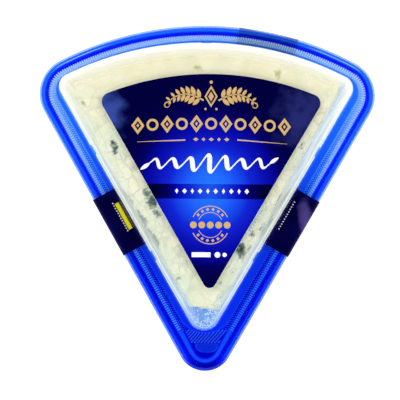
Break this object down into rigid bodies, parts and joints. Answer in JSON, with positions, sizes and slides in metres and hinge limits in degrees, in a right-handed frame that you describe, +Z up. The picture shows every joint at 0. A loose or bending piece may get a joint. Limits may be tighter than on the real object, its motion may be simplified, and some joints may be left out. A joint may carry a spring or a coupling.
{
  "type": "packed blue cheese wedge",
  "caption": "Sealed sector-shaped portion pack lying on its back: translucent blue tray, clear formed lid over a veined wedge of blue cheese, dark blue front label and wrap-round back label.",
  "frame": {"origin": "centre of the pack's bounding box in plan, on the surface that the pack lies on", "axes": "+Z up out of the front label, -Y towards the wedge's tip, +Y towards the rear arc, +X to the right as the front label is read"},
  "size_m": [0.1196, 0.1232, 0.0209],
  "materials": {
    "blue_tray": "translucent blue formed sheet, glossy",
    "clear_lid": "clear formed sheet, glossy",
    "cheese": "cream paste with blue-green mould veins, moist",
    "front_label": "glossy coated paper, printed dark blue with gold and white shapes",
    "back_label": "glossy coated paper, printed navy"
  },
  "bodies": {
    "root": {"tray": "blue_tray", "lid": "clear_lid", "cheese": "cheese", "front_label": "front_label", "back_label": "back_label"}
  },
  "joints": []
}
